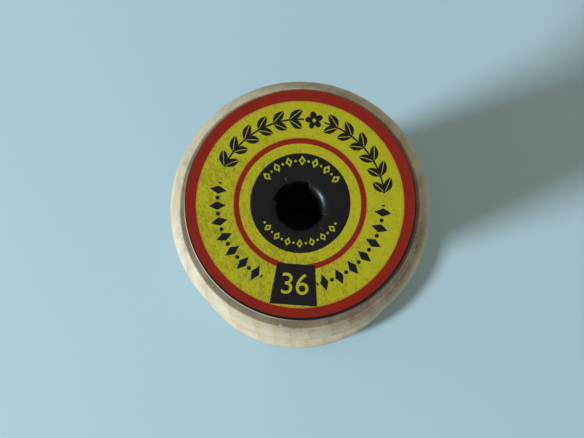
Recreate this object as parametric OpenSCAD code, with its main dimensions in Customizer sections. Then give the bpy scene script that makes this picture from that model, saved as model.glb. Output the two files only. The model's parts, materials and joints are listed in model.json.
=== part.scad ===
// A wooden sewing spool, built up from a bored barrel and two flanges that are
// glued on the barrel's tenons, with a round paper label on the upper end.
// The origin is the centre of the lower end face, and +Z runs up the bore.

/* [Spool] */
// Height of the wood from end face to end face
spool_h = 45; // [30:0.5:70]
// Diameter of the bore that the spool turns on
bore_d = 8; // [5:0.1:10]
// Radius that breaks the bore's edge at each end
bore_round = 0.5; // [0.2:0.05:1]

/* [Barrel] */
// Diameter of the barrel that the thread is wound on
barrel_d = 21; // [18:0.5:28]
// Width of the seat round each tenon, where a flange rests on the barrel
seat_w = 3.5; // [2:0.1:4.5]
// Thickness of the glue round each tenon
glue_t = 0.05; // [0.02:0.01:0.1]

/* [Flanges] */
// Diameter of a flange at its widest
flange_d = 37.5; // [30:0.5:50]
// Thickness of a flange where it meets the barrel
flange_t = 6.3; // [5.5:0.1:8]
// Radius of the rounded shoulder between the end face and the widest point
shoulder_r = 3.7; // [3.1:0.1:6]
// Distance of the widest point from the end face
shoulder_drop = 3; // [2:0.1:3.6]
// Width of the small flat that breaks the edge of the end face
arris_w = 0.15; // [0.05:0.05:0.5]
// Radius of the rim's inner edge, towards the thread
rim_round = 1.5; // [0.8:0.1:1.9]

/* [Thread nick] */
// Angle of the nick round the lower flange, counted from +X
nick_angle = 300; // [0:1:359]
// Width of the cut, a little more than the thread
nick_w = 0.35; // [0.2:0.05:0.8]
// Depth of the cut into the rim
nick_depth = 1.7; // [0.8:0.1:3]
// Lean of the cut away from the spool's axis, in degrees
nick_lean = 35; // [0:1:50]

/* [Label] */
// Width of bare wood between the label and the edge of the end face
label_margin = 0.6; // [0.5:0.05:3]
// Thickness of the paper
label_t = 0.18; // [0.1:0.01:0.4]
// Shift of the label along X, as it was glued a little off the centre
label_shift_x = 0.15; // [-0.3:0.05:0.3]
// Shift of the label along Y
label_shift_y = 0.4; // [-0.4:0.05:0.4]
// Gap between the wood and the paper that a spool pin pushed down into the bore
lip_slack = 0.02; // [0:0.01:0.04]
// Length of the pushed-down paper below its bend
lip_len = 1.1; // [0.3:0.1:4]
// Number of tears that part this paper into flaps
tear_count = 7; // [3:1:12]
// Width of a tear at the flaps' free ends
tear_w = 0.9; // [0.2:0.05:1.4]

/* [Hidden] */

// Sides of the rounds
$fn = 96;
// Length by which a cutting shape stands out of what it cuts
cut_over = 1;

birch = "burlywood";
birch_dark = "tan";
print_red = "firebrick";

// Barrel
bore_r = bore_d / 2;
barrel_r = barrel_d / 2;
tenon_r = barrel_r - seat_w;
mouth_r = bore_r + bore_round;

// Flange. Its section is drawn with the end face at z = 0 and the wood below.
flange_r = flange_d / 2;
clear_r = flange_r + cut_over;
flange_hole_r = tenon_r + glue_t;
shoulder_c = [flange_r - shoulder_r, -shoulder_drop];
flat_r = shoulder_c[0] + sqrt(shoulder_r * shoulder_r - shoulder_drop * shoulder_drop);
// The small flat halves the turn between the end face and the shoulder
arris_angle = acos(shoulder_drop / shoulder_r) / 2;
// The inner edge's arc starts at the widest point, and the tapered inner face
// leaves it almost as its tangent, down to the barrel
rim_c = [flange_r - rim_round, -shoulder_drop];
root = [barrel_r, -flange_t];
root_to_rim = rim_c - root;
taper_angle = atan2(root_to_rim[1], root_to_rim[0]) - asin(rim_round / norm(root_to_rim));
taper_end = rim_c + 0.995 * rim_round * [sin(taper_angle), -cos(taper_angle)];

// Label
label_r = flat_r - label_margin;
lip_r = bore_round + label_t + lip_slack;
lip_c = [mouth_r, spool_h + label_t - lip_r];
lip_end_z = lip_c[1] - lip_len;

// The turned section of a flange, from its hole to its rim
module flange_section() {
  polygon([
    [flange_hole_r, -flange_t],
    root,
    taper_end,
    rim_c,
    [shoulder_c[0], 0],
    [flange_hole_r, 0]
  ]);
  // The shoulder, from the broken arris down to the widest point
  intersection() {
    translate(shoulder_c) circle(r = shoulder_r);
    polygon([
      [tenon_r, -shoulder_drop],
      [clear_r, -shoulder_drop],
      [clear_r, -(clear_r - flat_r + arris_w) * tan(arris_angle)],
      [flat_r - arris_w, 0],
      [tenon_r, 0]
    ]);
  }
  // The rim's inner edge, below the widest point
  intersection() {
    translate(rim_c) circle(r = rim_round);
    translate([tenon_r, -shoulder_drop - flange_t])
      square([clear_r - tenon_r, flange_t]);
  }
}

// A flange with its end face on z = 0 and its inner face below
module flange() {
  rotate_extrude() flange_section();
}

// A slanting saw cut through the rim of a flange, to hold the thread's end
module nick_cut() {
  rotate([0, 0, nick_angle])
    translate([flange_r - nick_depth, 0, -flange_t / 2])
      rotate([nick_lean, 0, 0])
        translate([0, -nick_w / 2, -flange_t])
          cube([nick_depth + cut_over, nick_w, 2 * flange_t]);
}

// The barrel carries the thread. A tenon on each end goes right through its
// flange, flush with the end face, and the bore runs from end to end.
module barrel() {
  color(birch)
    rotate_extrude() {
      polygon([
        [mouth_r, 0],
        [tenon_r, 0],
        [tenon_r, flange_t],
        [barrel_r, flange_t],
        [barrel_r, spool_h - flange_t],
        [tenon_r, spool_h - flange_t],
        [tenon_r, spool_h],
        [mouth_r, spool_h],
        [bore_r, spool_h - bore_round],
        [bore_r, bore_round]
      ]);
      translate([mouth_r, bore_round]) circle(r = bore_round);
      translate([mouth_r, spool_h - bore_round]) circle(r = bore_round);
    }
}

// The flange that the label is glued on
module upper_flange() {
  color(birch)
    translate([0, 0, spool_h]) flange();
}

// The flange that the spool stands on, with the nick for the thread's end
module lower_flange() {
  color(birch_dark)
    mirror([0, 0, 1])
      difference() {
        flange();
        nick_cut();
      }
}

// The paper that bends down into the bore, where a spool pin pushed it in
module label_lip() {
  rotate_extrude() {
    translate(lip_c)
      intersection() {
        difference() {
          circle(r = lip_r);
          circle(r = lip_r - label_t);
        }
        translate([-lip_r, 0]) square(lip_r);
      }
    translate([mouth_r - lip_r, lip_end_z]) square([label_t, lip_len]);
  }
}

// A tear in the pushed-down paper: a narrow wedge, widest at the free ends
module tear() {
  rotate([90, 0, 90])
    linear_extrude(height = mouth_r)
      polygon([
        [-tear_w / 2, lip_end_z],
        [tear_w / 2, lip_end_z],
        [0, spool_h + label_t]
      ]);
}

// A round of printed paper, glued on the upper end over the tenon's joint
module upper_label() {
  color(print_red)
    difference() {
      union() {
        difference() {
          translate([label_shift_x, label_shift_y, spool_h])
            cylinder(r = label_r, h = label_t);
          translate([0, 0, spool_h - cut_over])
            cylinder(r = mouth_r, h = label_t + 2 * cut_over);
        }
        label_lip();
      }
      for (i = [0:tear_count - 1])
        rotate([0, 0, i * 360 / tear_count]) tear();
    }
}

barrel();
upper_flange();
lower_flange();
upper_label();
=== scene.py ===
# A wooden sewing spool that stands on its lower end, on a table, under one soft lamp.
# Lengths are in millimetres until a piece is finished, when its mesh goes to metres.
import json
import math

import bmesh
import bpy
from mathutils import Matrix, Vector, noise


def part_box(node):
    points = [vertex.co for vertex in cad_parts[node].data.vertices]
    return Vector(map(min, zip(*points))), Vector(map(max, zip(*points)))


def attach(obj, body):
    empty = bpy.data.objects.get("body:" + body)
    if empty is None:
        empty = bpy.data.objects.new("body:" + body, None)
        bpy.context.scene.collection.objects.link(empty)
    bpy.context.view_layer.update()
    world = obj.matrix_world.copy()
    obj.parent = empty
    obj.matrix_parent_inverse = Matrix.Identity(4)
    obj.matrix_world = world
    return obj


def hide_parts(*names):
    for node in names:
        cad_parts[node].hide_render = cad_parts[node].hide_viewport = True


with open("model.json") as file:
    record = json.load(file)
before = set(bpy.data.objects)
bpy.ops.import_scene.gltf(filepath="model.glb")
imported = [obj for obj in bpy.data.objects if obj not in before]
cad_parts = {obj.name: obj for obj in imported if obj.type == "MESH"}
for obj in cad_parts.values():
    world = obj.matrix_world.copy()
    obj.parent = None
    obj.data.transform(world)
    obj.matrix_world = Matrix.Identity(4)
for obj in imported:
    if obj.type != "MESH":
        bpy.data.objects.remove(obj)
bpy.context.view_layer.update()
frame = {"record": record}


# Barrel. The turned birch core that carries the thread, with a tenon on each end
# and a bore from end to end. The lathe left faint waves along it, and the thread
# has polished it. Both tenons are glued into the flanges.
mm = 0.001
barrel_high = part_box("barrel")[1] / mm
flange_low, flange_high = (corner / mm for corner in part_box("upper_flange"))
spool_h = barrel_high.z
barrel_r = barrel_high.x
flange_t = flange_high.z - flange_low.z
bore_mount = next(m for m in frame["record"]["mounts"] if m["name"] == "bore")
bore_r = bore_mount["dims"]["r_mm"]
mouth_round = (spool_h - bore_mount["dims"]["length_mm"]) / 2
tenon_r = 7.0
joint_edge = 0.07  # the broken edge of a tenon and of its hole
gouge_pitch = 1.15
gouge_depth = 0.014
barrel_steps = 192


def arc(centre, radius, start, end, pieces):
    """Points of an arc in an outline, between two angles in degrees."""
    angles = [math.radians(start + (end - start) * i / pieces) for i in range(pieces + 1)]
    return [(centre[0] + radius * math.cos(a), centre[1] + radius * math.sin(a)) for a in angles]


def straight(start, end, spacing):
    """Points of a straight stretch of an outline, with its start and without its end."""
    count = max(1, round(math.dist(start, end) / spacing))
    return [tuple(Vector(start).lerp(Vector(end), i / count)) for i in range(count)]


def turn(outline, steps):
    """A closed outline of (radius, height) points, turned once round the spool's axis."""
    bm = bmesh.new()
    points = [bm.verts.new((r, 0, z)) for r, z in outline]
    edges = [bm.edges.new(pair) for pair in zip(points, points[1:] + points[:1])]
    bmesh.ops.spin(
        bm, geom=points + edges, cent=(0, 0, 0), axis=(0, 0, 1),
        angle=math.tau, steps=steps, use_merge=True,
    )
    bmesh.ops.recalc_face_normals(bm, faces=bm.faces)
    return bm


def piece_of(bm, name, slot, *materials):
    """The finished piece: its mesh in metres, with its materials, riding on the spool."""
    bmesh.ops.scale(bm, vec=(mm, mm, mm), verts=bm.verts)
    mesh = bpy.data.meshes.new(name)
    bm.to_mesh(mesh)
    bm.free()
    mesh.shade_smooth()
    mesh.set_sharp_from_angle(angle=math.radians(38))
    for material in materials:
        mesh.materials.append(material)
    piece = bpy.data.objects.new(name, mesh)
    bpy.context.scene.collection.objects.link(piece)
    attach(piece, "root")
    return piece


class Wire:
    """A value that changes over a surface: a sum or product of wires is a Math node."""

    def __init__(self, tree, socket):
        self.tree = tree
        self.socket = socket

    def math(self, operation, *others):
        inputs = dict(enumerate((self, *others)))
        return add_node(self.tree, "Math", inputs, operation=operation)

    def __add__(self, other):
        return self.math("ADD", other)

    def __sub__(self, other):
        return self.math("SUBTRACT", other)

    def __mul__(self, other):
        return self.math("MULTIPLY", other)

    def __truediv__(self, other):
        return self.math("DIVIDE", other)

    def rise(self, low, high):
        """0 below low and 1 above high, smooth between. With low above high it falls."""
        inputs = {"Value": self, "From Min": low, "From Max": high}
        return add_node(self.tree, "MapRange", inputs, interpolation_type="SMOOTHSTEP")

    def axes(self):
        """The x, y and z of a vector."""
        made = add_node(self.tree, "SeparateXYZ", {0: self}).socket.node
        return [Wire(self.tree, socket) for socket in made.outputs]

    def stretched(self, *factors):
        """A vector with its x, y and z multiplied."""
        return add_node(self.tree, "VectorMath", {0: self, 1: factors}, operation="MULTIPLY")

    def moved(self, other):
        """A vector with another one added."""
        return add_node(self.tree, "VectorMath", {0: self, 1: other}, operation="ADD")


def add_node(tree, kind, inputs, **settings):
    """A new node, whose inputs are numbers, colours or wires. Gives its first output."""
    made = tree.nodes.new("ShaderNode" + kind)
    for name, value in settings.items():
        setattr(made, name, value)
    for name, value in inputs.items():
        if isinstance(value, Wire):
            tree.links.new(value.socket, made.inputs[name])
        else:
            made.inputs[name].default_value = value
    return Wire(tree, next((o for o in made.outputs if o.enabled), None))


def cloud(place, scale, detail=2.0, roughness=0.5):
    """Soft noise from 0 to 1, with that many lumps to a millimetre."""
    inputs = {"Vector": place, "Scale": scale, "Detail": detail, "Roughness": roughness}
    return add_node(place.tree, "TexNoise", inputs)


def lines(along, scale, detail=3.0):
    """Noise in one direction only, as a tool or a brush leaves it."""
    inputs = {"W": along, "Scale": scale, "Detail": detail, "Roughness": 0.6}
    return add_node(along.tree, "TexNoise", inputs, noise_dimensions="1D")


def mix(share, first, second, how="MIX"):
    """Two colours mixed: the first where the share is 0, the second where it is 1."""
    inputs = {0: share, 6: first, 7: second}
    return add_node(share.tree, "Mix", inputs, data_type="RGBA", blend_type=how)


def new_group(name, inputs, outputs):
    """An empty node group: the group, its inputs as wires, and a way to set its outputs."""
    group = bpy.data.node_groups.new(name, "ShaderNodeTree")
    for label, kind in inputs.items():
        group.interface.new_socket(label, in_out="INPUT", socket_type="NodeSocket" + kind)
    for label, kind in outputs.items():
        group.interface.new_socket(label, in_out="OUTPUT", socket_type="NodeSocket" + kind)
    start = group.nodes.new("NodeGroupInput")
    end = group.nodes.new("NodeGroupOutput")

    def give(**results):
        for label, wire in results.items():
            group.links.new(wire.socket, end.inputs[label])

    return group, [Wire(group, start.outputs[label]) for label in inputs], give


def use_group(tree, group, **inputs):
    """A group placed in a material. Gives its outputs as wires, in their order."""
    made = tree.nodes.new("ShaderNodeGroup")
    made.node_tree = group
    for name, value in inputs.items():
        if isinstance(value, Wire):
            tree.links.new(value.socket, made.inputs[name])
        else:
            made.inputs[name].default_value = value
    return [Wire(tree, socket) for socket in made.outputs]


def new_material(name, specular):
    """A material with its shader, and the place on the spool in millimetres as a wire."""
    material = bpy.data.materials.new(name)
    material.use_nodes = True
    tree = material.node_tree
    shader = tree.nodes["Principled BSDF"]
    shader.inputs["Specular IOR Level"].default_value = specular
    coordinates = tree.nodes.new("ShaderNodeTexCoord")
    metres = Wire(tree, coordinates.outputs["Object"])
    return material, shader, metres.stretched(1 / mm, 1 / mm, 1 / mm)


def dress(shader, colour, roughness, height, distance):
    """Leads a colour, a roughness and a relief to a material's shader."""
    tree = colour.tree
    bump = add_node(tree, "Bump", {"Height": height, "Distance": distance, "Strength": 1.0})
    tree.links.new(colour.socket, shader.inputs["Base Color"])
    tree.links.new(roughness.socket, shader.inputs["Roughness"])
    tree.links.new(bump.socket, shader.inputs["Normal"])


def radius_of(x, y):
    """How far a point lies from the axis."""
    return (x * x + y * y).math("SQRT")


# Birch with its fibres along the spool, so that the end faces show end grain
birch, (place, pith, pale, deep), give = new_group(
    "birch",
    {"Place": "Vector", "Pith": "Vector", "Pale": "Color", "Deep": "Color"},
    {"Colour": "Color", "Relief": "Float"},
)
wander = cloud(place.stretched(1, 1, 0.2), 0.06)
from_pith = place.moved(pith)
x, y, z = from_pith.axes()
out = radius_of(x, y) + wander * 5
round_pith = y.math("ARCTAN2", x)
year = (out / 2.7).math("FRACT")
late_wood = year.rise(0.35, 0.98) * year.rise(1.0, 0.97)
fibre = cloud(place.stretched(1, 1, 0.035), 5.5, 5.0, 0.66)
streak = cloud(place.stretched(1, 1, 0.06), 0.55, 3.0)
ray_place = add_node(birch, "CombineXYZ", {0: round_pith * 52, 1: out * 0.12, 2: z * 0.7})
ray = cloud(ray_place, 1.0, 1.0).rise(0.6, 0.72)
vessel_place = place.stretched(1, 1, 0.07)
vessel = add_node(birch, "TexVoronoi", {"Vector": vessel_place, "Scale": 2.4})
pore = vessel.rise(0.17, 0.09)
depth = late_wood * 0.34 + fibre * 0.75 + streak * 0.55 - ray * 0.16 - 0.42
wood = mix(depth.math("MINIMUM", 1.0).math("MAXIMUM", 0.0), pale, deep)
dark_pore = mix(pore * 0.45, wood, deep, "MULTIPLY")
give(Colour=dark_pore, Relief=fibre * 0.5 - pore * 0.8 - ray * 0.1)

# Fine lathe lines, smudges from hands, and specks of dirt in the grain
handling, (place,), give = new_group(
    "handling",
    {"Place": "Vector"},
    {"Lathe": "Float", "Smudge": "Float", "Specks": "Float", "Face": "Float"},
)
x, y, z = place.axes()
from_middle = (z - spool_h / 2).math("ABSOLUTE")
below_face = (from_middle * -1) + spool_h / 2
smudge = cloud(place, 0.28, 4.0, 0.6)
specks = cloud(place, 2.6, 3.0, 0.6).rise(0.56, 0.7)
ragged = below_face + cloud(place, 1.7, 2.0) * 0.05
give(
    Lathe=lines(radius_of(x, y) - from_middle, 5.2),
    Smudge=smudge,
    Specks=specks,
    Face=ragged.rise(0.1, 0.05),
)

birch_pale = (0.56, 0.495, 0.36, 1)
birch_deep = (0.40, 0.31, 0.185, 1)
grime_and_shade_brown = (0.085, 0.062, 0.043, 1)
barrel_pith = (31, -24, 0)
thread_pitch = 0.34

barrel_look, shader, place = new_material("polished birch", 0.35)
tree = barrel_look.node_tree
colour, relief = use_group(
    tree, birch, Place=place, Pith=barrel_pith, Pale=birch_pale, Deep=birch_deep
)
lathe, smudge, specks, face = use_group(tree, handling, Place=place)
x, y, z = place.axes()
out = radius_of(x, y)
turns = y.math("ARCTAN2", x) / math.tau
thread_line = ((z / thread_pitch + turns) * math.tau).math("SINE")
wound = out.rise(barrel_r - 0.2, barrel_r - 0.1)
faint = cloud(place.stretched(1, 1, 2), 0.16, 2.0).rise(0.4, 0.62)
thread_mark = thread_line * wound * faint
glue_line = (z - spool_h / 2).math("ABSOLUTE").rise(
    spool_h / 2 - flange_t - 0.3, spool_h / 2 - flange_t
)
# Inside the bore the wood is painted almost black: painted shade in the deep hole, with some
# age-darkening from the spindle.
bore_painted_shade = out.rise(bore_r + mouth_round + 0.05, bore_r + mouth_round - 0.3)
soiled_and_shaded = mix(smudge.rise(0.45, 0.75) * 0.22 + specks * 0.08, colour, grime_and_shade_brown)
lined = mix(thread_mark.rise(0.2, 1.0) * 0.16, soiled_and_shaded, birch_deep)
glued = mix(glue_line * wound * 0.55, lined, (0.19, 0.115, 0.05, 1))
end_grain = mix(face * (smudge * 0.5 + 0.4), glued, grime_and_shade_brown)
inside = mix(bore_painted_shade * 0.93, end_grain, (0.022, 0.015, 0.01, 1))
shine = faint * -0.12 + smudge * 0.18 + 0.46
dress(shader, inside, shine, relief * 0.5 + lathe * 0.45 + thread_mark * 0.35, 0.02 * mm)

outline = [
    *straight((bore_r + mouth_round, 0), (tenon_r - joint_edge, 0), 0.2),
    (tenon_r - joint_edge, 0),
    (tenon_r, joint_edge),
    (tenon_r, flange_t),
    *straight((barrel_r, flange_t), (barrel_r, spool_h - flange_t), 0.2),
    (barrel_r, spool_h - flange_t),
    (tenon_r, spool_h - flange_t),
    (tenon_r, spool_h - joint_edge),
    *straight((tenon_r - joint_edge, spool_h), (bore_r + mouth_round, spool_h), 0.2),
    *arc((bore_r + mouth_round, spool_h - mouth_round), mouth_round, 90, 180, 6),
    *straight((bore_r, spool_h - mouth_round), (bore_r, mouth_round), 0.5)[1:],
    *arc((bore_r + mouth_round, mouth_round), mouth_round, 180, 270, 6)[:-1],
]
bm = turn(outline, barrel_steps)
for vert in bm.verts:
    out = vert.co.xy.length
    if out > barrel_r - 0.01:
        wave = math.sin(math.tau * vert.co.z / gouge_pitch) + noise.noise((0, 0, vert.co.z / 3))
        vert.co.xy *= 1 - gouge_depth * (1 + wave / 2) / barrel_r
    elif out < bore_r + 0.01:
        spiral = math.sin(math.tau * vert.co.z / 2.4 + math.atan2(vert.co.y, vert.co.x))
        vert.co.xy *= 1 + 0.012 * (1 + spiral) / bore_r
barrel = piece_of(bm, "turned_barrel", "barrel_wood", barrel_look)
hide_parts("barrel")


# Lower flange. Turned birch with a flat end face, a rounded shoulder and a tapered
# inner face, glued on the lower tenon. A saw cut in the rim holds the thread's end.
flange_r = flange_high.x
shoulder_r = 3.7
shoulder_drop = 3.0
arris_w = 0.15
rim_round = 1.5
flange_hole_r = tenon_r + 0.05
facing_pitch = 0.48
facing_depth = 0.016
flange_steps = 420
nick_angle = math.radians(300)
nick_w = 0.35
nick_depth = 1.7
nick_lean = math.radians(35)
flange_pith = (-34, 19, 0)

shoulder_c = (flange_r - shoulder_r, -shoulder_drop)
face_turn = math.degrees(math.asin(shoulder_drop / shoulder_r))
half_fall = math.radians((90 - face_turn) / 2)
face_lean = math.radians(face_turn)
arris_turn = arris_w / (math.cos(face_lean) / math.tan(half_fall) - math.sin(face_lean))
arris_end = face_turn - math.degrees(arris_turn / shoulder_r)
flat_r = shoulder_c[0] + math.sqrt(shoulder_r**2 - shoulder_drop**2)
rim_c = (flange_r - rim_round, -shoulder_drop)
root = (barrel_r, -flange_t)
root_to_rim = Vector(rim_c) - Vector(root)
taper = math.atan2(root_to_rim.y, root_to_rim.x) - math.asin(rim_round / root_to_rim.length)
rim_start = math.degrees(taper) - 90


def flange_mesh():
    """A flange with its end face at height 0 and its wood below."""
    rim = arc(rim_c, rim_round, rim_start, 0, 12)
    shoulder = arc(shoulder_c, shoulder_r, 0, arris_end, 26)
    bm = turn([
        (flange_hole_r, -flange_t),
        *straight(root, rim[0], 0.18),
        *rim[:-1],
        *shoulder,
        *straight((flat_r - arris_w, 0), (flange_hole_r + joint_edge, 0), 0.12),
        (flange_hole_r + joint_edge, 0),
        (flange_hole_r, -joint_edge),
    ], flange_steps)
    for vert in bm.verts:
        out, height = vert.co.xy.length, vert.co.z
        if height > -0.001 and out < flat_r - 2 * arris_w:
            ring = 1 + math.cos(math.tau * out / facing_pitch)
            vert.co.z -= facing_depth * ring * (0.3 + 0.5 * abs(noise.noise((out, 0, 0))))
        elif out > barrel_r + 0.3:
            ring = 1 + math.cos(math.tau * (out - height) / 0.8)
            vert.co -= vert.normal * 0.006 * ring
    return bm


def dent(bm, angle, out, height, size, depth):
    """Presses a small hollow into the wood. The size is across, along and up the rim."""
    spot = Vector((out * math.cos(angle), out * math.sin(angle), height))
    outward = Vector((math.cos(angle), math.sin(angle), 0))
    sideways = Vector((-math.sin(angle), math.cos(angle), 0))
    for vert in bm.verts:
        away = vert.co - spot
        if away.length < 3 * max(size):
            share = (away.dot(sideways) / size[0]) ** 2
            share += (away.dot(outward) / size[1]) ** 2 + (away.z / size[2]) ** 2
            vert.co -= vert.normal * depth * math.exp(-share)


flange_look, shader, place = new_material("turned birch", 0.3)
tree = flange_look.node_tree
colour, relief = use_group(
    tree, birch, Place=place, Pith=flange_pith, Pale=birch_pale, Deep=birch_deep
)
lathe, smudge, specks, face = use_group(tree, handling, Place=place)
x, y, z = place.axes()
out = radius_of(x, y)
below_face = (z - spool_h / 2).math("ABSOLUTE") * -1 + spool_h / 2
near_face = below_face.rise(1.7, 0.1)
# Near the end face the wood is painted darker towards the front and right: painted shade on the side away
# from the lamp, mixed with real handling smudges. The grime brown carries both.
front_painted_shade = (y * -1 + x * 0.35).rise(4, 19)
handling_grime_and_painted_shade = near_face * (smudge.rise(0.35, 0.7) * 0.45 + front_painted_shade * 0.55)
# The inner faces between the flanges are painted a little darker: painted shade under the flange, not
# dust.
thread_side = below_face.rise(4.0, 4.6)
soiled_and_shaded = mix(handling_grime_and_painted_shade * 0.7 + specks * (handling_grime_and_painted_shade * 0.45 + 0.1), colour, grime_and_shade_brown)
thread_side_painted_shade = mix(thread_side * smudge.rise(0.4, 0.8) * 0.3, soiled_and_shaded, (0.3, 0.22, 0.13, 1))
scuffed = smudge * 0.28 + specks * 0.12 + 0.52
end_grain = mix(face * scuffed, thread_side_painted_shade, grime_and_shade_brown)
shine = face * 0.16 + smudge * 0.2 + 0.42
dress(shader, end_grain, shine, relief * 0.7 + lathe * 0.5 + specks * 0.15, 0.025 * mm)

bm = flange_mesh()
for angle, height, wide, depth in (
    (25, -2.2, 0.8, 0.07), (71, -4.0, 0.5, 0.05), (148, -1.2, 0.6, 0.06),
    (206, -3.1, 1.1, 0.06), (263, -1.9, 0.45, 0.08), (331, -3.6, 0.7, 0.05),
):
    dent(bm, math.radians(angle), flange_r - 0.2, height, (wide, 0.8, wide * 0.7), depth)
bmesh.ops.scale(bm, vec=(1, 1, -1), verts=bm.verts)
bmesh.ops.recalc_face_normals(bm, faces=bm.faces)
lower_flange = piece_of(bm, "turned_lower_flange", "flange_wood", flange_look)
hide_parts("lower_flange")

bm = bmesh.new()
bmesh.ops.create_cube(bm, size=1)
bmesh.ops.scale(bm, vec=(2 * nick_depth, nick_w, 3 * flange_t), verts=bm.verts)
bmesh.ops.rotate(bm, cent=(0, 0, 0), matrix=Matrix.Rotation(-nick_lean, 3, "X"), verts=bm.verts)
bmesh.ops.translate(bm, vec=(flange_r, 0, flange_t / 2), verts=bm.verts)
bmesh.ops.rotate(bm, cent=(0, 0, 0), matrix=Matrix.Rotation(nick_angle, 3, "Z"), verts=bm.verts)
saw = piece_of(bm, "saw_cut", "flange_wood", flange_look)
cut = lower_flange.modifiers.new("thread nick", "BOOLEAN")
cut.object = saw
cut.solver = "EXACT"
bpy.context.view_layer.update()
sawn = bpy.data.meshes.new_from_object(
    lower_flange.evaluated_get(bpy.context.evaluated_depsgraph_get())
)
lower_flange.modifiers.clear()
lower_flange.data = sawn
bpy.data.objects.remove(saw)


# Upper flange. The same turning on the upper tenon. Its end face is dark with
# handling and old glue, with painted shade towards the front and right, and its
# arris carries one sharp dent and two small ones.
bm = flange_mesh()
for angle, out, across, along, depth in (
    (-117.1, flat_r, 0.13, 0.36, 0.17),
    (-118.7, flat_r - 0.22, 0.1, 0.1, 0.07),
    (-120.8, flat_r - 0.25, 0.12, 0.12, 0.08),
    (-97.0, flat_r + 0.3, 0.3, 0.5, 0.05),
    (-24.0, flat_r + 0.1, 0.5, 0.4, 0.06),
    (62.0, flat_r + 0.5, 0.7, 0.6, 0.05),
    (151.0, flat_r + 0.1, 0.25, 0.3, 0.05),
):
    dent(bm, math.radians(angle), out, 0, (across, along, 0.5), depth)
for angle, height, wide, depth in ((12, -3.2, 0.7, 0.06), (118, -2.6, 0.9, 0.05), (236, -4.1, 0.5, 0.07)):
    dent(bm, math.radians(angle), flange_r - 0.2, height, (wide, 0.8, wide * 0.7), depth)
bmesh.ops.translate(bm, vec=(0, 0, spool_h), verts=bm.verts)
upper_flange = piece_of(bm, "turned_upper_flange", "flange_wood", flange_look)
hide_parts("upper_flange")


# Label. A round of thin varnished paper, glued on the upper end over the tenon's
# joint, printed in red and black on yellow. A spool pin has torn its middle into
# flaps and pushed them down into the bore.
label_low, label_high = (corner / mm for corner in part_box("upper_label"))
label_c = (label_low + label_high) / 2
label_r = (label_high.x - label_low.x) / 2
paper_t = label_high.z - spool_h
bend_r = 4.9
tip_r = 1.2
label_steps = 480
lift = 0.09
# Where each tear runs, and for the flap after it how far it springs back (0 to 1)
# and how long it is
tears = (
    (-33, 1.0, 3.1), (52, 0.12, 2.3), (100, 0.0, 2.6), (146, 0.55, 2.4),
    (199, 0.8, 2.8), (250, 0.85, 2.3), (297, 0.7, 2.6),
)


def flap_at(angle):
    """The flap that holds an angle: its middle, spring and length."""
    for (start, spring, length), (end, _, _) in zip(tears, tears[1:] + tears[:1]):
        width = (end - start) % 360
        if (angle - start) % 360 < width:
            return math.radians(start + width / 2), spring, length


def bend_down(depth, spring):
    """Where paper lies that runs inwards over the bore's mouth, at that length from the bend."""
    first = 0.3 + 0.15 * spring
    reach = 1.35 + 1.1 * spring
    steepest = math.radians(91 - 13 * spring)
    out, drop, pieces = bend_r, 0.0, 24
    for i in range(pieces):
        share = (depth * (i + 0.5) / pieces - first) / reach
        share = min(1.0, max(0.0, share))
        lean = steepest * share * share * (3 - 2 * share)
        out -= math.cos(lean) * depth / pieces
        drop += math.sin(lean) * depth / pieces
    return out, drop


bm = bmesh.new()
rows = [label_r, label_r - 0.04, label_r - 0.1, label_r - 0.2]
rows += [label_r - 0.2 - (label_r - 0.2 - bend_r) * i / 30 for i in range(1, 31)]
rows += [bend_r - (bend_r - tip_r) * i / 26 for i in range(1, 27)]
points = [bm.verts.new((r, 0, 0)) for r in rows]
edges = [bm.edges.new(pair) for pair in zip(points, points[1:])]
bmesh.ops.spin(
    bm, geom=points + edges, cent=(0, 0, 0), axis=(0, 0, 1),
    angle=math.tau, steps=label_steps, use_merge=True,
)
step = 360 / label_steps
torn = []
for edge in bm.edges:
    (a, b) = edge.verts
    if max(a.co.length, b.co.length) < bend_r + 0.001:
        turns = [math.degrees(math.atan2(v.co.y, v.co.x)) for v in (a, b)]
        same = abs(turns[0] - turns[1]) < step / 4
        if same and any(abs((turns[0] - t[0] + 180) % 360 - 180) < step / 2 for t in tears):
            torn.append(edge)
bmesh.ops.split_edges(bm, edges=torn)
for vert in bm.verts:
    out = vert.co.length
    angle = math.atan2(vert.co.y, vert.co.x)
    if out > bend_r + 0.001:
        blend = (out - bend_r) / (label_r - bend_r)
        side = math.cos(angle + math.radians(25))
        edge_lift = max(0.0, (blend - 0.88) / 0.12) ** 2 * lift * max(0.05, side)
        fray = 0.035 * noise.noise((vert.co.x * 0.8, vert.co.y * 0.8, 3)) * max(0, blend - 0.98) / 0.02
        vert.co.x += label_c.x * blend + fray * math.cos(angle)
        vert.co.y += label_c.y * blend + fray * math.sin(angle)
        roll = 0.05 * max(0.0, 1 - (label_r - out) / 0.09)
        vert.co.z = edge_lift - roll
        continue
    middle_face = vert.link_faces[0].calc_center_median()
    middle, spring, length = flap_at(math.degrees(math.atan2(middle_face.y, middle_face.x)))
    share = (bend_r - out) / (bend_r - tip_r)
    ragged = noise.noise((math.cos(angle) * 4, math.sin(angle) * 4, 7))
    ragged += 0.5 * noise.noise((math.cos(angle) * 13, math.sin(angle) * 13, 2))
    depth = share * (length + 0.5 * ragged * share)
    gap = (angle - middle + math.pi) % math.tau - math.pi
    curl = 1 + 0.12 * (gap / 0.4) ** 2 * share
    r, drop = bend_down(depth, min(1.0, spring * curl))
    narrowed = middle + gap * min(1.0, (bend_r - depth) / r)
    vert.co = Vector((r * math.cos(narrowed), r * math.sin(narrowed), -drop))
bmesh.ops.translate(bm, vec=(0, 0, spool_h + paper_t), verts=bm.verts)
bmesh.ops.recalc_face_normals(bm, faces=bm.faces)
if sum(f.normal.z for f in bm.faces) < 0:
    bmesh.ops.reverse_faces(bm, faces=bm.faces)

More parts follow.
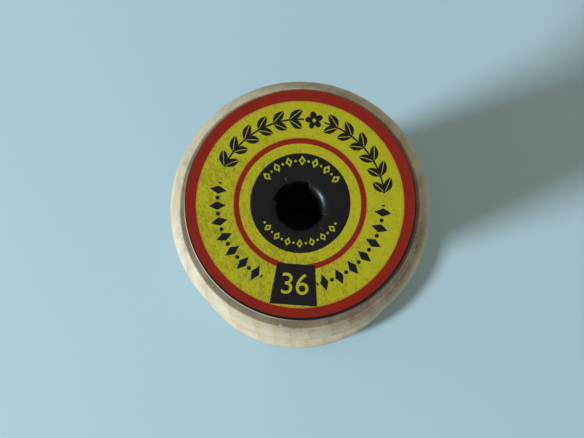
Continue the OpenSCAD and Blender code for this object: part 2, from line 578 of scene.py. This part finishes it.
paper_cream = (0.52, 0.45, 0.30, 1)
ink_red = (0.215, 0.0085, 0.0015, 1)
ink_black = (0.0022, 0.0026, 0.0042, 1)
ground_yellow = (0.375, 0.362, 0.007, 1)
ground_olive = (0.20, 0.195, 0.006, 1)
red_plate_c = (-0.13, -0.51, 0)
black_plate_c = (-0.20, -0.62, 0)
ring_in, ring_out = 14.88, 16.42
fine_ring_in, fine_ring_out = 8.71, 9.50
disc_r = 7.18

ink_edge = 0.035


def within(value, low, high):
    """1 where a wire lies between two values, with a printed line's soft edge."""
    return value.rise(low - ink_edge, low + ink_edge) * value.rise(high + ink_edge, high - ink_edge)


def turned_to(x, y, degrees):
    """The same place seen from a direction: how far out along it, and across it."""
    c, s = math.cos(math.radians(degrees)), math.sin(math.radians(degrees))
    return x * c + y * s, y * c - x * s


def either(*masks):
    """1 where any of the masks is 1."""
    result = masks[0]
    for mask in masks[1:]:
        result = result.math("MAXIMUM", mask)
    return result


def on_arc(x, y, middle, line_r):
    """A place along an arc from its middle, and out from its line, in millimetres."""
    ahead, aside = turned_to(x, y, middle)
    return aside.math("ARCTAN2", ahead) * line_r, radius_of(x, y) - line_r


def lozenges(along, out, half_span, pitch, tall, wide, dot_r, hollow=0.0):
    """A row of lozenges with a dot between each two."""
    inside = along.math("ABSOLUTE").rise(half_span + ink_edge, half_span - ink_edge)
    cell = along.math("PINGPONG", pitch / 2)
    reach = cell / wide + out.math("ABSOLUTE") / tall
    lozenge = reach.rise(1 + ink_edge, 1 - ink_edge)
    if hollow:
        lozenge = lozenge * reach.rise(hollow - 0.06, hollow + 0.06)
    beside = cell * -1 + pitch / 2
    dot = radius_of(beside, out).rise(dot_r + ink_edge, dot_r - ink_edge)
    return either(lozenge, dot) * inside


def laurel(along, out, half_span, pitch, lean, length, width):
    """Two sprays of paired leaves that grow from their ends to a flower in the middle."""
    flower_r = 1.25
    from_middle = along.math("ABSOLUTE")
    inside = from_middle.rise(flower_r + 0.15, flower_r + 0.25)
    inside = inside * from_middle.rise(half_span + ink_edge, half_span - ink_edge)
    cell = ((from_middle - flower_r - 0.3) / pitch).math("FRACT") * pitch - pitch * 0.86
    up = out.math("ABSOLUTE")
    c, s = math.cos(math.radians(lean)), math.sin(math.radians(lean))
    ahead = (up * s - cell * c) / (length / 2) - 1
    across = (cell * s + up * c).math("ABSOLUTE")
    leaf = (across / width + ahead * ahead).rise(1.06, 0.94)
    vein = (cell * s + up * c).math("ABSOLUTE").rise(0.02, 0.07)
    stem = up.rise(0.13 + ink_edge, 0.13 - ink_edge)
    sprays = either(leaf * vein, stem) * inside
    turn_round = out.math("ARCTAN2", along) * 2.5
    petals = turn_round.math("COSINE").math("ABSOLUTE") * 0.62 + 0.68
    from_heart = radius_of(along, out)
    flower = (from_heart / petals).rise(1 + ink_edge, 1 - ink_edge) * from_heart.rise(0.22, 0.3)
    return either(sprays, flower)


print_look, shader, place = new_material("printed paper", 0.3)
tree = print_look.node_tree
squash = add_node(tree, "TexNoise", {"Vector": place, "Scale": 3.2, "Detail": 2.0}).socket.node
jitter = Wire(tree, squash.outputs["Color"]).moved((-0.5, -0.5, -0.5)).stretched(0.11, 0.11, 0)
printed = place.moved(jitter)
x, y, z = printed.moved(red_plate_c).axes()
red_r = radius_of(x, y)
x, y, z = printed.moved(black_plate_c).axes()
black_r = radius_of(x, y)
leaf_arc = on_arc(x, y, 63, 12.1)
left_arc = on_arc(x, y, 186.5, 11.85)
right_arc = on_arc(x, y, -57.5, 11.85)
upper_arc = on_arc(x, y, 70, 6.1)
lower_arc = on_arc(x, y, -108.5, 5.8)
box_out, box_side = turned_to(x, y, -111.5)
box_mask = within(box_out, 8.75, 14.6) * within(
    box_side.math("ABSOLUTE") - (box_out - 11.2) * 0.12, -9, 3.0
) * black_r.rise(ring_in + 0.1, ring_in)
black_marks = either(
    laurel(*leaf_arc, 15.6, 2.38, 36, 2.35, 0.6),
    lozenges(*left_arc, 8.0, 2.3, 1.25, 0.62, 0.3),
    lozenges(*right_arc, 8.0, 2.3, 1.25, 0.62, 0.3),
    box_mask,
    within(black_r, -1, disc_r),
    within(black_r, 16.38, 16.8),
)
open_marks = either(
    lozenges(*upper_arc, 6.1, 1.9, 0.72, 0.5, 0.17, 0.45),
    lozenges(*lower_arc, 6.4, 1.75, 0.62, 0.45, 0.16, 0.45),
)
blotch = cloud(place, 0.5, 3.0, 0.6)
mottle = cloud(place.stretched(1.5, 0.8, 1), 2.4, 4.0, 0.7)
soft_side = (x * -1 - y * 0.4).rise(-12, 12) * 0.1
worn = (mottle + soft_side + (blotch - 0.5) * 0.35).rise(0.52, 0.74)
ground = mix(worn * 0.85, ground_yellow, ground_olive)
red_zone = either(within(red_r, ring_in, 17), within(red_r, fine_ring_in, fine_ring_out))
halo = either(within(red_r, ring_in - 0.22, ring_in), within(red_r, fine_ring_out, fine_ring_out + 0.16))
haloed = mix(halo * 0.5, ground, (0.36, 0.16, 0.02, 1))
red_tone = mix(blotch.rise(0.3, 0.75) * 0.5, ink_red, (0.15, 0.006, 0.001, 1))
reds = mix(red_zone, haloed, red_tone)
black_tone = mix(mottle.rise(0.66, 0.8) * 0.5, ink_black, (0.02, 0.018, 0.008, 1))
blacks = mix(black_marks, reds, black_tone)
knocked_out = mix(open_marks, blacks, ground)
scuff = cloud(place.stretched(1, 2.2, 1), 1.6, 3.0, 0.7).rise(0.72, 0.78)
chipped = mix(scuff * 0.5, knocked_out, (0.3, 0.16, 0.08, 1))
x, y, z = place.axes()
edge_r = radius_of(x - label_c.x, y - label_c.y)
# The bare paper colour at the label's rim is the paper's cut edge, painted strongest on the side toward
# the lamp: partly real paper edge, partly painted light.
lit_side = (x * -1 - y * 0.45).rise(10.5, 15.5)
bare_edge_painted_light = edge_r.rise(label_r - 0.12, label_r - 0.06) * (lit_side * 0.75 + 0.12)
finished = mix(bare_edge_painted_light, chipped, paper_cream)
shine = blotch * 0.14 + mottle * 0.12 + 0.24
fibres = cloud(place, 6.0, 3.0, 0.7)
dress(shader, finished, shine, fibres * 0.5 + blotch * 0.6 + black_marks * 0.25, 0.02 * mm)

bare_look, shader, place = new_material("bare paper", 0.3)
flecks = cloud(place, 4.0, 4.0, 0.65)
aged = mix(flecks.rise(0.35, 0.75), paper_cream, (0.36, 0.29, 0.17, 1))
x, y, z = place.axes()
in_bore = z.rise(spool_h + paper_t - 0.4, spool_h + paper_t - 0.9)
shaded = mix(in_bore * 0.8, aged, (0.03, 0.025, 0.02, 1))
dress(shader, shaded, flecks * 0.2 + 0.7, flecks, 0.02 * mm)

label = piece_of(bm, "printed_label", "label_paper", print_look, bare_look)
sheet = label.modifiers.new("paper thickness", "SOLIDIFY")
sheet.thickness = paper_t * mm
sheet.offset = -1
sheet.material_offset = 1
sheet.material_offset_rim = 1
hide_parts("upper_label")


# Number on the label. A plain size number in the yellow ground's colour, left open
# in the black box by the printer, upright when read from the box's outer side.
number_text = "36"
number_h = 3.0
number_out = 11.75
number_angle = math.radians(-111.5)
ink_t = 0.012

number_look, shader, place = new_material("open number", 0.3)
mottle = cloud(place, 2.4, 4.0, 0.7)
ground = mix(mottle.rise(0.5, 0.74) * 0.8, ground_yellow, ground_olive)
dress(shader, ground, mottle * 0.12 + 0.3, cloud(place, 6.0, 3.0, 0.7), 0.01 * mm)

letters = bpy.data.curves.new("number", "FONT")
letters.body = number_text
letters.align_x = "CENTER"
letters.align_y = "CENTER"
letters.size = number_h / 0.7
letters.resolution_u = 8
blank = bpy.data.objects.new("number", letters)
bpy.context.scene.collection.objects.link(blank)
bpy.context.view_layer.update()
flat = bpy.data.meshes.new_from_object(
    blank.evaluated_get(bpy.context.evaluated_depsgraph_get())
)
bpy.data.objects.remove(blank)
bm = bmesh.new()
bm.from_mesh(flat)
bmesh.ops.remove_doubles(bm, verts=bm.verts, dist=0.001)
spot = Vector((
    -black_plate_c[0] + number_out * math.cos(number_angle),
    -black_plate_c[1] + number_out * math.sin(number_angle),
    spool_h + paper_t + ink_t,
))
bmesh.ops.rotate(
    bm, cent=(0, 0, 0), matrix=Matrix.Rotation(number_angle + math.pi / 2, 3, "Z"), verts=bm.verts
)
bmesh.ops.translate(bm, vec=spot, verts=bm.verts)
raised = bmesh.ops.extrude_face_region(bm, geom=bm.faces[:])
moved = [v for v in raised["geom"] if isinstance(v, bmesh.types.BMVert)]
bmesh.ops.translate(bm, vec=(0, 0, -2 * ink_t), verts=moved)
bmesh.ops.recalc_face_normals(bm, faces=bm.faces)
number = piece_of(bm, "label_number", "label_paper", number_look)


# Table. A plain pale top, large enough to fill every view, that the spool stands on.
table_half = 1500
table_look, shader, place = new_material("pale table", 0.25)
tint = cloud(place, 0.004, 2.0)
top = mix(tint, (0.385, 0.54, 0.60, 1), (0.40, 0.555, 0.605, 1))
tree = table_look.node_tree
tree.links.new(top.socket, shader.inputs["Base Color"])
shader.inputs["Roughness"].default_value = 0.7

bm = bmesh.new()
bmesh.ops.create_grid(bm, x_segments=8, y_segments=8, size=table_half)
bmesh.ops.scale(bm, vec=(mm, mm, mm), verts=bm.verts)
mesh = bpy.data.meshes.new("table")
bm.to_mesh(mesh)
bm.free()
mesh.materials.append(table_look)
table = bpy.data.objects.new("table", mesh)
bpy.context.scene.collection.objects.link(table)


# Light. One round soft lamp low on the left, and an even pale surround that fills
# the shadows. Together they light the table so that a colour shows as it is written.
lamp_far = 0.9
lamp_rise = math.radians(28)
lamp_turn = math.radians(185)
lamp_seen = math.radians(11)
lamp_share = 0.62
lamp = bpy.data.lights.new("lamp", "AREA")
lamp.shape = "DISK"
lamp.size = 2 * lamp_far * math.tan(lamp_seen / 2)
lamp.energy = lamp_share * math.pi / math.sin(lamp_rise) * math.pi * lamp_far**2
lamp.color = (0.90, 0.99, 1.10)
lamp_place = bpy.data.objects.new("lamp", lamp)
bpy.context.scene.collection.objects.link(lamp_place)
lamp_place.location = (
    lamp_far * math.cos(lamp_rise) * math.cos(lamp_turn),
    lamp_far * math.cos(lamp_rise) * math.sin(lamp_turn),
    lamp_far * math.sin(lamp_rise) + spool_h / 2 * mm,
)
towards = Vector((0, 0, spool_h / 2 * mm)) - lamp_place.location
lamp_place.rotation_euler = towards.to_track_quat("-Z", "Y").to_euler()

world = bpy.data.worlds.new("surround")
bpy.context.scene.world = world
world.use_nodes = True
tree = world.node_tree
background = tree.nodes["Background"]
path = tree.nodes.new("ShaderNodeLightPath")
seen = Wire(tree, path.outputs["Is Camera Ray"])
fill = mix(seen, (0.41, 0.385, 0.34, 1), (0.40, 0.555, 0.61, 1))
tree.links.new(fill.socket, background.inputs["Color"])
background.inputs["Strength"].default_value = 1.0


# Camera. It looks almost straight down on the upper end, from a little below and
# left of the spool as the picture shows it.
camera_far = 250
camera_tilt = math.radians(6.3)
camera_side = Vector((-0.342, -0.940))
aim = Vector((-1.62, -1.19, spool_h))
focal_px = 1750
picture_px = 584
camera = bpy.data.cameras.new("camera")
camera.sensor_width = 36
camera.lens = focal_px / picture_px * camera.sensor_width
camera.clip_start = 0.01
camera_place = bpy.data.objects.new("camera", camera)
bpy.context.scene.collection.objects.link(camera_place)
eye = Vector((*(camera_side * math.sin(camera_tilt)), math.cos(camera_tilt))) * camera_far
eye += Vector((0, 0, spool_h))
camera_place.location = eye * mm
camera_place.rotation_euler = (aim - eye).to_track_quat("-Z", "Y").to_euler()
bpy.context.scene.camera = camera_place
bpy.context.scene.view_settings.view_transform = "Standard"
